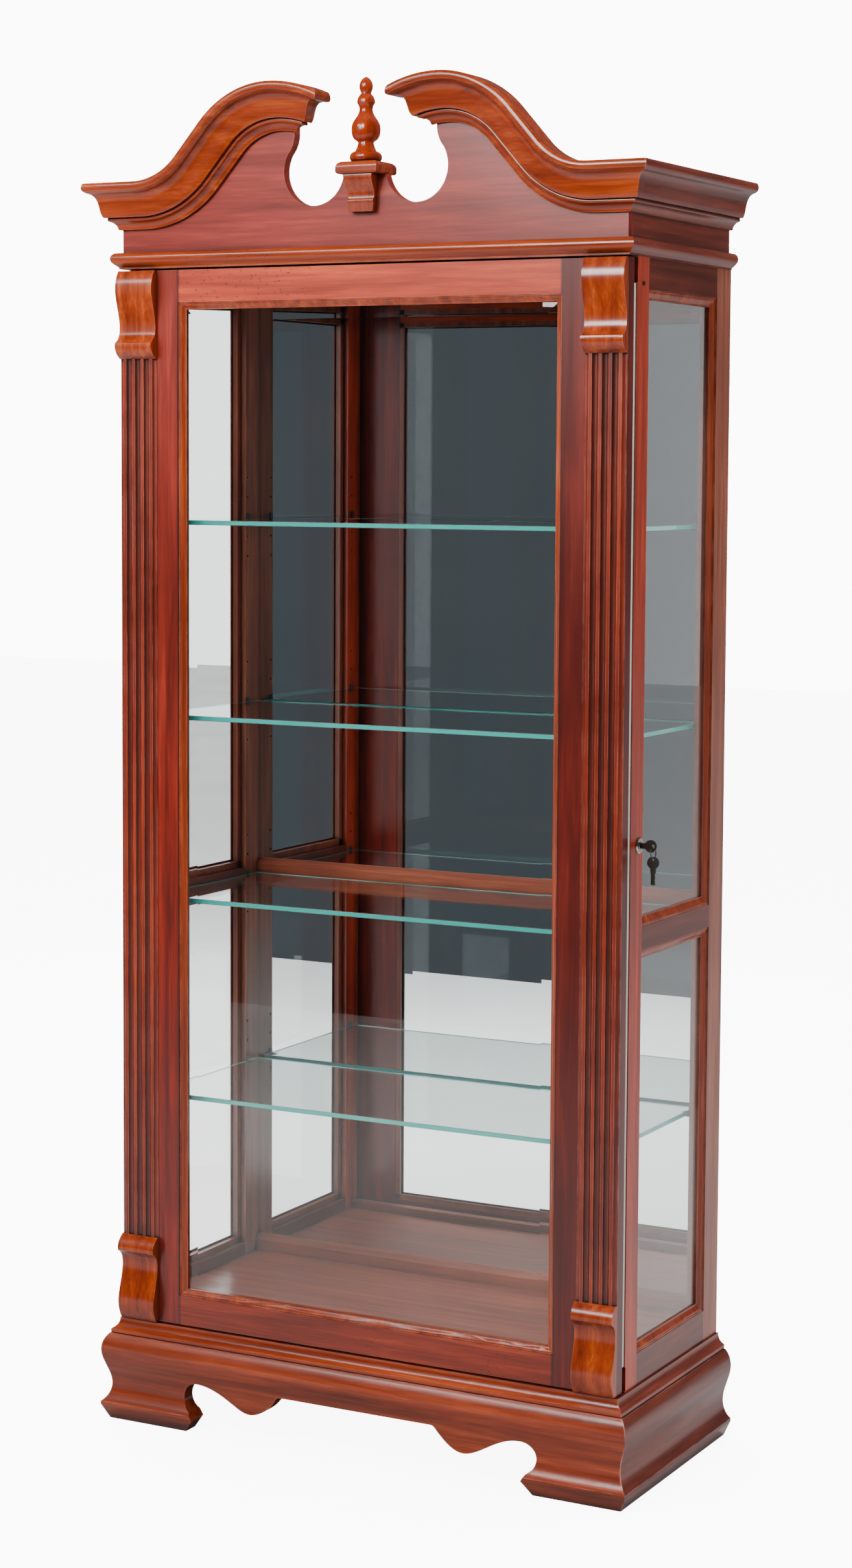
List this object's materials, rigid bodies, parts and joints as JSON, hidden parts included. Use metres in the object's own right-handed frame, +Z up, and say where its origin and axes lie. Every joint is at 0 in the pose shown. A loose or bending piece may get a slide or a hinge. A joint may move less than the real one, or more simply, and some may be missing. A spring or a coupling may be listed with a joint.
{
  "type": "curio cabinet",
  "caption": "Tall glazed curio cabinet with a sliding glass door, mirrored back, glass shelves, side lock and swan-neck pediment with a turned finial.",
  "frame": {"origin": "on the floor, under the middle of the whole object's outline", "axes": "+X to the right seen from the front, +Y to the back, +Z up"},
  "size_m": [1.0264, 0.4558, 2.26],
  "materials": {
    "frame_wood": "semi-gloss lacquer",
    "door_rail_wood": "semi-gloss lacquer",
    "carved_wood": "semi-gloss lacquer, glazed hollows",
    "fluted_wood": "semi-gloss lacquer, glazed flutes",
    "moulding_wood": "semi-gloss lacquer, glazed hollows",
    "base_wood": "semi-gloss lacquer, worn at the foot edges",
    "pediment_wood": "semi-gloss lacquer",
    "inner_wood": "satin lacquer",
    "back_board": "plain",
    "clear_glass": "polished",
    "shelf_glass": "polished, green at the edges",
    "mirror_glass": "polished",
    "pin_metal": "black",
    "slide_steel": "zinc plated",
    "seal": "matt",
    "lock_metal": "polished nickel",
    "key_metal": "nickel plated"
  },
  "bodies": {
    "cabinet": {"back_panel": "back_board", "back_rails": "inner_wood", "base_corner_blocks": "inner_wood", "base_deck": "inner_wood", "base_front_moulding": "moulding_wood", "base_front_skirt": "base_wood", "base_rear_rail": "inner_wood", "base_side_mouldings": "moulding_wood", "base_side_skirts": "base_wood", "cabinet_floor": "inner_wood", "carrier_screws": "slide_steel", "cornice_front_bead": "moulding_wood", "cornice_side_beads": "moulding_wood", "dust_strips": "seal", "finial": "carved_wood", "frieze_rear_rail": "inner_wood", "frieze_sides": "pediment_wood", "front_post_left": "frame_wood", "front_post_right": "frame_wood", "lock_barrel": "lock_metal", "mirror_lower": "mirror_glass", "mirror_upper": "mirror_glass", "pediment_board": "pediment_wood", "plinth_bracket": "carved_wood", "plinth_cap": "carved_wood", "rear_stiles": "frame_wood", "shelf_pins": "pin_metal", "side_crowns": "moulding_wood", "side_frame_rails": "frame_wood", "side_glass_panes": "clear_glass", "side_glass_retainers": "inner_wood", "side_glazing_beads": "moulding_wood", "slide_cabinet_members": "slide_steel", "slide_carrier_rails": "inner_wood", "swan_neck_left": "moulding_wood", "swan_neck_right": "moulding_wood", "top_board": "inner_wood"},
    "door": {"door_bottom_rail": "door_rail_wood", "door_corbels": "carved_wood", "door_glass": "clear_glass", "door_glass_retainer": "inner_wood", "door_glazing_bead": "moulding_wood", "door_pilasters": "fluted_wood", "door_stile_left": "frame_wood", "door_stile_right": "frame_wood", "door_top_rail": "door_rail_wood", "slide_door_members": "slide_steel"},
    "slide_middles": {"slide_middle_members": "slide_steel"},
    "lock_plug": {"lock_plug": "lock_metal", "lock_cam": "lock_metal"},
    "key": {"key": "key_metal"},
    "key_ring": {"key_ring": "key_metal"},
    "spare_key": {"spare_key": "key_metal"},
    "shelf_1": {"glass_shelf_1": "shelf_glass"},
    "shelf_2": {"glass_shelf_2": "shelf_glass"},
    "shelf_3": {"glass_shelf_3": "shelf_glass"},
    "shelf_4": {"glass_shelf_4": "shelf_glass"}
  },
  "joints": [
    {"name": "door_slide", "type": "slide", "parent": "cabinet", "child": "door", "axis": [1, 0, 0], "range_m": [-0.5, 0.5]},
    {"name": "slide_middles_travel", "type": "slide", "parent": "cabinet", "child": "slide_middles", "axis": [1, 0, 0], "range_m": [-0.25, 0.25]},
    {"name": "lock_turn", "type": "hinge", "parent": "cabinet", "child": "lock_plug", "pos_m": [0.4485, -0.12015, 1.049], "axis": [1, 0, 0], "range_deg": [0, 90]},
    {"name": "key_pull", "type": "slide", "parent": "lock_plug", "child": "key", "axis": [1, 0, 0], "range_m": [0, 0.03]},
    {"name": "ring_swing", "type": "hinge", "parent": "key", "child": "key_ring", "pos_m": [0.4915, -0.12015, 1.049], "axis": [0, -1, 0], "range_deg": [-8, 50]},
    {"name": "spare_key_swing", "type": "hinge", "parent": "key_ring", "child": "spare_key", "pos_m": [0.4915, -0.12015, 1.029], "axis": [0, -1, 0], "range_deg": [-8, 40]},
    {"name": "shelf_1_lift", "type": "slide", "parent": "cabinet", "child": "shelf_1", "axis": [0, 0, 1], "range_m": [0, 0.03]},
    {"name": "shelf_2_lift", "type": "slide", "parent": "cabinet", "child": "shelf_2", "axis": [0, 0, 1], "range_m": [0, 0.03]},
    {"name": "shelf_3_lift", "type": "slide", "parent": "cabinet", "child": "shelf_3", "axis": [0, 0, 1], "range_m": [0, 0.03]},
    {"name": "shelf_4_lift", "type": "slide", "parent": "cabinet", "child": "shelf_4", "axis": [0, 0, 1], "range_m": [0, 0.03]}
  ],
  "couplings": [
    {"joint": "slide_middles_travel", "follows": "door_slide", "ratio": 0.5}
  ]
}
